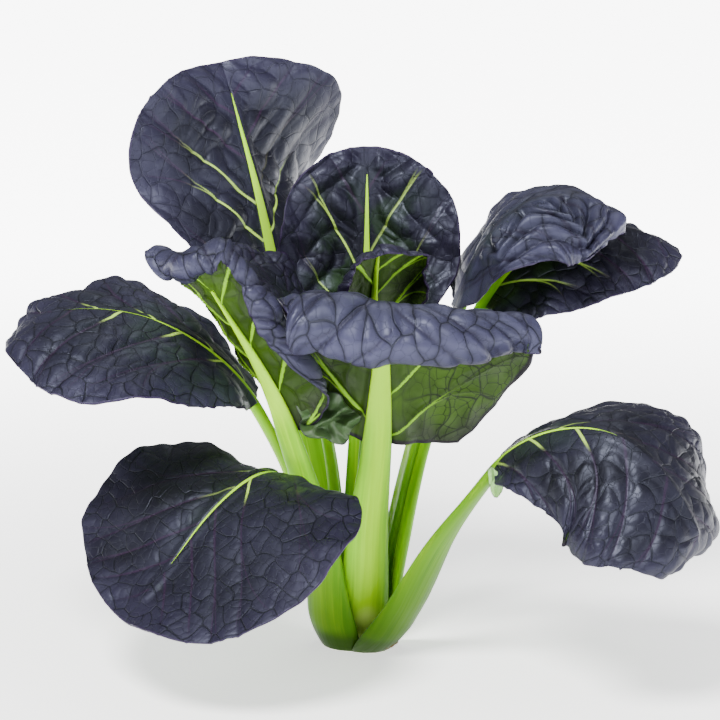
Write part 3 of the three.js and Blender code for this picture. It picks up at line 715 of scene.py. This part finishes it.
# The leaves. seat to lip are the CAD's own sizes in mm and degrees; only rightLow's lip tapers off more
# slowly here. The rest is the finish. cell and cushion are the width and height of the puckers, and cellLong
# below 1 draws them out along the leaf. quilt is the height of the panels between the side veins, and lump
# of the lumps. creases are rounded folds: on which side, from where on, how wide and how high. sheen is the
# strength of a painted highlight on the puckers, and netShow the strength of the dark net and of the painted
# shade in the grooves. green is how strong, how far out and how far up the blade its green ground shows, and
# pale how far out and up its side veins are pale. ribShow is the share of the midrib's width that shows, and
# from where to where on the blade, and ribSlim its width as a share of the CAD's. pallor is the pale middle
# of the stalk, partly its own paler colour and partly a painted highlight; shade is painted shade towards its
# foot, deepen painted shade all over it, and footPatch the white patch at its foot.

noLip = (0, 1, 0, 0, 1)
noGreen = (0, 1, 1)
noPale = (1, 0.01)

finish = dict(
    veins=5, slant=1.35, veinBend=-0.003, forkLow=(0.25, 1.1), forkHigh=(0.45, 1.2), cell=9, cellLong=1.0,
    cushion=0.6, quilt=0.55, lump=0.2, puckerHighlight=0.0, netShow=1.0, green=(0.3, 14, 0.8), pale=(26, 0.4),
    veinShow=0.8, ribShow=(0, 0, 0.9), ribSlim=1.0, paleAndHighlight=0.35, shade=0.3, allOverShade=0.15, footPatch=0.0,
    columns=124, rows=124, sides=48, rings=120,
)

rightLow = dict(finish, node="right_low", seed=1, seat=(303, 16), azimuth=315, stalk=111, blade=135,
                stalkRise=(56, 61, 52), stalkSwing=(-1, 14), bladeRise=(27, 6, -38, -60, -85),
                bladeSwing=(4, 22, 32), roll=(8, 2), width=(56, 49), egg=0.09, blunt=1, lobe=(2, -16),
                fold=((4, 3, 6), (-30, -40, -30)), curl=((-6, -20, -22), (-22, -40, -26)),
                ruffle=(8, 1.8, 5.0), stalkWidth=(17, 11.5, 7.5), ribShare=0.86, lip=(0.22, 8, 30, 120, 90),
                cell=10, cushion=0.7, columns=130, rows=150, veins=6, ribShow=(0.2, 0.24, 0.6),
                ribSlim=0.35, pale=(10, 0.5), veinShow=0.7, allOverShade=0.7, paleAndHighlight=0.1)
growLeaf("rightLow", rightLow)

frontLeftLow = dict(finish, node="front_left_low", seed=2, seat=(225, 18), azimuth=224, stalk=99, blade=96,
                    stalkRise=(85, 89, 22), stalkSwing=(4, 5), bladeRise=(-22, -38, -48, -40, -36),
                    bladeSwing=(-7, -8, -14), roll=(-4, -6), width=(67, 60), egg=0.04, blunt=1,
                    lobe=(13, 3), fold=((2, -1, -2), (6, 11, 11)), curl=((-11, -17, -16), (-7, -4, -8)),
                    ruffle=(9, 1.5, 4.1), stalkWidth=(17.5, 9, 4), ribShare=0.86, lip=noLip,
                    cell=9, cushion=0.28, quilt=0.35, columns=150, rows=124, shade=0.8,
                    ribShow=(0.42, 0, 0.8), pale=(12, 0.3), veinShow=0.8, allOverShade=0.15)
growLeaf("frontLeftLow", frontLeftLow)

front = dict(finish, node="front", seed=3, seat=(283, 10), azimuth=288, stalk=98, blade=112,
             stalkRise=(84, 84, 80), stalkSwing=(6, 14), bladeRise=(80, 72, 40, -42, -105),
             bladeSwing=(-8, -14, -14), roll=(-5, -4), width=(65, 43), egg=0.3, blunt=0.7, lobe=(12, -6),
             fold=((0, 5, 4), (26, 14, 0)), curl=((0, -10, -32), (-6, -14, -35)), ruffle=(9, 1.5, 5.7),
             stalkWidth=(13.5, 10, 7), ribShare=0.86, lip=(0.25, 9, 0, 115, 50),
             cell=11, cellLong=0.6, cushion=0.9, quilt=1.0, netShow=0.9, puckerHighlight=0.16, columns=144, rows=140,
             sides=64, veinShow=0.1, green=noGreen, paleAndHighlight=0.6, allOverShade=0, footPatch=0.6)
growLeaf("front", front)

left = dict(finish, node="left", seed=4, seat=(176, 12), azimuth=187, stalk=119, blade=122,
            stalkRise=(80, 79, 58), stalkSwing=(5, 17), bladeRise=(42, 28, 8, -10, -46),
            bladeSwing=(7, -7, -20), roll=(0, 0), width=(55, 36), egg=0.18, blunt=1, lobe=(-6, -2),
            fold=((-24, -24, -22), (26, 16, 18)), curl=((-20, -10, -18), (-2, -12, -20)),
            ruffle=(8, 1.6, 3.3), stalkWidth=(10, 6.5, 4.2), ribShare=0.86, lip=noLip,
            quilt=0.8, puckerHighlight=0.03, rows=136, green=(0.5, 50, 0.9), ribShow=(0.32, 0, 0.97), pale=(9, 0.75),
            veinShow=0.8)
growLeaf("left", left)

leftFront = dict(finish, node="left_front", seed=5, seat=(226, 10), azimuth=222, stalk=107, blade=117,
                 stalkRise=(80, 76, 69), stalkSwing=(-4, -6), bladeRise=(62, 57, 57, 58, 56),
                 bladeSwing=(-12, -18, -18), roll=(27, 54), width=(38.5, 24), egg=0, blunt=1, lobe=(2, 4),
                 fold=((0, 0, 0), (44, 44, 30)), curl=((-6, -6, -10), (0, 0, -20)), ruffle=(8, 1.4, 0.9),
                 stalkWidth=(9, 8, 5.5), ribShare=0.62, lip=(0.48, 5.6, -40, 125, 60),
                 cell=11, cushion=1.3, quilt=1.1, puckerHighlight=0.1, columns=150, rows=140, veinShow=0.15,
                 pale=noPale, green=noGreen)
growLeaf("leftFront", leftFront)

rightLong = dict(finish, node="right_long", seed=6, seat=(8, 12), azimuth=24, stalk=157, blade=108,
                 stalkRise=(84, 76, 58), stalkSwing=(0, -2), bladeRise=(40, 20, 0, -20, -46),
                 bladeSwing=(-6, -8, -10), roll=(6, 12), width=(34, 38), egg=0.03, blunt=1, lobe=(-4, 10),
                 fold=((-6, -8, -4), (-16, -24, -20)), curl=((-10, -10, -12), (-24, -24, -30)),
                 ruffle=(8, 1.6, 2.8), stalkWidth=(9, 6, 4), ribShare=0.86, lip=noLip,
                 green=(0.9, 30, 0.6), pale=(30, 0.35), ribShow=(0.9, 0, 0.6), paleAndHighlight=1, allOverShade=0, shade=0,
                 ribSlim=1.4)
growLeaf("rightLong", rightLong)

rightUpper = dict(finish, node="right_upper", seed=7, seat=(42, 11), azimuth=10, stalk=153, blade=103,
                  stalkRise=(84, 77, 70), stalkSwing=(0, -1), bladeRise=(66, 48, 14, -18, -50),
                  bladeSwing=(-6, -8, -8), roll=(14, 12), width=(42, 40), egg=0.14, blunt=1, lobe=(0, -10),
                  fold=((-6, -6, -10), (8, 2, -10)), curl=((-16, -18, -24), (-34, -44, -55)),
                  ruffle=(8, 1.6, 2.1), stalkWidth=(8, 5.5, 4), ribShare=0.86, lip=(0.16, 7, 50, 110, 50),
                  cell=13, cellLong=0.7, cushion=0.5, creases=(1, 0.15, 11, 1.9), netShow=0.6, puckerHighlight=0.13,
                  veinShow=0.2, pale=noPale, paleAndHighlight=1, allOverShade=0, shade=0)
growLeaf("rightUpper", rightUpper)

backLeft = dict(finish, node="back_left", seed=8, seat=(132, 11), azimuth=131, stalk=155, blade=106,
                stalkRise=(80, 74, 73), stalkSwing=(2, 4), bladeRise=(75, 72, 67, 66, 58),
                bladeSwing=(8, 2, -5), roll=(-1, -1), width=(56, 62), egg=0.11, blunt=1, lobe=(-10, -12),
                fold=((10, -4, 12), (10, -10, 18)), curl=((-15, -28, -10), (-13, -28, 10)),
                ruffle=(9, 1.6, 0.3), stalkWidth=(10, 7.5, 4.5), ribShare=0.86, lip=noLip,
                cell=10, cushion=0.3, quilt=0.4, lump=1.5, columns=144, rows=130, pale=(36, 0.45),
                ribShow=(1, 0, 0.97), veinShow=0.95, netShow=0.35, ribSlim=1.5, puckerHighlight=0.02)
growLeaf("backLeft", backLeft)

back = dict(finish, node="back", seed=9, seat=(86, 11), azimuth=84, stalk=131, blade=86,
            stalkRise=(82, 80, 78), stalkSwing=(0, 0), bladeRise=(79, 82, 84, 85, 78), bladeSwing=(0, 3, 1),
            roll=(1, 3), width=(41, 43), egg=0, blunt=1, lobe=(0, 0), fold=((26, 20, 12), (26, 14, 9)),
            curl=((10, 9, 8), (10, 2, 3)), ruffle=(9, 1.8, 1.3), stalkWidth=(10, 7.5, 4.5), ribShare=0.86,
            lip=noLip,
            cell=8, cushion=0.4, quilt=0.6, lump=2.2, green=(1, 44, 1.1), veins=3, slant=2.1,
            pale=(30, 0.5), ribShow=(1, 0, 0.97), veinShow=0.9, netShow=0.3, ribSlim=1.5)
growLeaf("back", back)

innerLeft = dict(finish, node="inner_left", seed=10, seat=(168, 5), azimuth=178, stalk=131, blade=66,
                 stalkRise=(88, 85, 78), stalkSwing=(0, 0), bladeRise=(64, 52, 40, 28, 16),
                 bladeSwing=(0, 0, 0), roll=(-6, -8), width=(27, 22), egg=0.05, blunt=1, lobe=(0, -4),
                 fold=((20, 16, 6), (20, 17, 8)), curl=((0, -10, -20), (0, -9, -18)), ruffle=(8, 1.8, 1.9),
                 stalkWidth=(6, 5, 3.5), ribShare=0.86, lip=(0.24, 4, -40, 130, 50),
                 cell=6, cushion=0.6, quilt=0.6, lump=0.8, veins=4, columns=96, rows=104, sides=32,
                 veinShow=0.3, pale=noPale)
growLeaf("innerLeft", innerLeft)

innerFront = dict(finish, node="inner_front", seed=11, seat=(300, 4.5), azimuth=300, stalk=129, blade=60,
                  stalkRise=(88, 87, 87), stalkSwing=(2, 2), bladeRise=(86, 84, 80, 70, 60),
                  bladeSwing=(-1, -4, -6), roll=(3, 6), width=(28, 26), egg=0.06, blunt=1, lobe=(0, 0),
                  fold=((24, 8, -10), (24, 2, -12)), curl=((0, -22, -34), (0, -28, -38)),
                  ruffle=(9, 1.2, 2.9), stalkWidth=(6, 5, 3.5), ribShare=0.86, lip=(0.3, 3.5, 0, 150, 40),
                  cell=6, cushion=0.5, quilt=0.5, veins=4, columns=96, rows=104, sides=32, veinShow=0.2)
growLeaf("innerFront", innerFront)


# Crown: the stem end inside the ring of stalks, in mm

crown = dict(radius=leafRules["crownRadius"], height=leafRules["crownHeight"], topShare=0.3, rounding=2,
             sides=48, shade=0.8)

def makeCrown():
    radius, height = crown["radius"], crown["height"]
    bm = bmesh.new()
    bmesh.ops.create_cone(bm, cap_ends=True, segments=crown["sides"], radius1=radius * mm,
                          radius2=radius * crown["topShare"] * mm, depth=height * mm)
    bmesh.ops.translate(bm, verts=bm.verts[:], vec=(0, 0, height / 2 * mm))
    side = [f for f in bm.faces if len(f.verts) == 4]
    for face in bm.faces:
        if face.normal.z < -0.9:
            face.material_index = 1
    rims = [e for e in bm.edges if len(set(f.index for f in e.link_faces) & set(f.index for f in side)) == 1]
    top = [e for e in rims if min(v.co.z for v in e.verts) > height / 2 * mm]
    bmesh.ops.bevel(bm, geom=top, offset=crown["rounding"] * mm, segments=4, affect="EDGES", profile=0.5,
                    material=-1)
    mesh = bpy.data.meshes.new("crown")
    bm.to_mesh(mesh)
    bm.free()
    points = readPoints(mesh) / mm
    setVector(mesh, "place", points * mm)
    setFloat(mesh, "shade", np.full(len(points), crown["shade"]))
    for material in (stalkSkin, cutFace):
        mesh.materials.append(material)
    showPiece(mesh, "crownHeart", ["crown"])

makeCrown()
print("crown made")


# Small torn bits: a flap between the stalks, an ear below a blade and a scar on a stalk. centre, across and
# down are in mm, with the depth of the crumple, the size and number of scallops round the edge, how far the
# bit bends back, and how pale it is

scrapThickness = 0.6

def makeScrap(name, bit, material):
    bm = bmesh.new()
    bmesh.ops.create_grid(bm, x_segments=48, y_segments=48, size=1)
    mesh = bpy.data.meshes.new(name)
    bm.to_mesh(mesh)
    bm.free()
    flat = readPoints(mesh)
    t = flat[:, 0] * np.sqrt(1 - flat[:, 1] ** 2 / 2)
    s = flat[:, 1] * np.sqrt(1 - flat[:, 0] ** 2 / 2)
    ring = np.hypot(s, t)
    reach = 1 + bit["scallop"] * np.sin(bit["waves"] * np.arctan2(s, t) + 1) * ring ** 3
    across, down = np.array(bit["across"], float), np.array(bit["down"], float)
    facing = np.cross(down, across)
    facing /= np.linalg.norm(facing)
    fold = 1 - 2 * np.abs(np.sin(3.1 * t + 2.3 * s + np.sin(4 * s)))
    fold += 0.6 * np.sin(7 * s - 4 * t + 1) + 0.5 * ring * np.sin(bit["waves"] * 2 * np.arctan2(s, t))
    point = np.array(bit["centre"], float) + np.outer(t * reach, across) + np.outer(s * reach, down)
    point += np.outer(bit["crumple"] * fold - bit["bend"] * t * t, facing)
    mesh.vertices.foreach_set("co", (point * mm).astype(np.float32).ravel())
    setFloat(mesh, "margin", (1 - ring) * np.linalg.norm(down))
    setFloat(mesh, "paleness", np.full(ring.shape, bit["paleness"]))
    setVector(mesh, "place", point * mm)
    mesh.materials.append(material)
    piece = showPiece(mesh, name, [])
    solid = piece.modifiers.new("thickness", "SOLIDIFY")
    solid.thickness = scrapThickness * mm
    solid.offset = 0

flap = dict(centre=(-12, -31, 106), across=(12, 2.5, 0.5), down=(3, -1, -10), crumple=2.3, scallop=0.14,
            waves=5, bend=2, paleness=0.15)
makeScrap("flap", flap, scrapSkin)
ear = dict(centre=(55.6, -63, 87), across=(2.5, 0.3, 0.8), down=(1.5, -0.6, -6), crumple=0.4, scallop=0.12,
           waves=3, bend=0.6, paleness=1)
makeScrap("ear", ear, scrapSkin)
scar = dict(centre=(14.6, -16.4, 3.2), across=(2.4, 2.3, 0.1), down=(0.8, -0.5, 1.4), crumple=0.15,
            scallop=0.15, waves=5, bend=-0.2, paleness=0)
makeScrap("scar", scar, scarSkin)
print("scraps made")


# Floor and world. The floor glows more with the distance in metres, so that it fades to white

floorLook = dict(paper=(0.97, 0.97, 0.97, 1), half=14, drop=0.2, glowFrom=(0.0, 1.2), glowTo=(1.1, 8.0),
                 sky=(0.93, 0.95, 1, 1), skyPower=0.3)

def addFloor():
    look = floorLook
    bm = bmesh.new()
    bmesh.ops.create_grid(bm, x_segments=1, y_segments=1, size=look["half"])
    bmesh.ops.translate(bm, verts=bm.verts[:], vec=(0, 0, -look["drop"] * mm))
    mesh = bpy.data.meshes.new("floor")
    bm.to_mesh(mesh)
    bm.free()
    floor = bpy.data.objects.new("floor", mesh)
    bpy.context.collection.objects.link(floor)
    material, tree = startMaterial("floorPaper")
    place = addNode(tree, "ShaderNodeTexCoord").outputs["Object"]
    away = addNode(tree, "ShaderNodeVectorMath", {0: place}, operation="LENGTH").outputs["Value"]
    (near, dim), (far, bright) = look["glowFrom"], look["glowTo"]
    shader = addNode(tree, "ShaderNodeBsdfPrincipled", {
        "Base Color": look["paper"], "Roughness": 0.9, "Specular IOR Level": 0.0,
        "Emission Color": (1, 1, 1, 1), "Emission Strength": span(tree, away, near, far, dim, bright)})
    out = addNode(tree, "ShaderNodeOutputMaterial")
    tree.links.new(shader.outputs[0], out.inputs["Surface"])
    mesh.materials.append(material)
    world = bpy.data.worlds.new("studio")
    world.use_nodes = True
    sky = world.node_tree.nodes["Background"]
    sky.inputs["Color"].default_value = look["sky"]
    sky.inputs["Strength"].default_value = look["skyPower"]
    bpy.context.scene.world = world

addFloor()
print("floor laid")
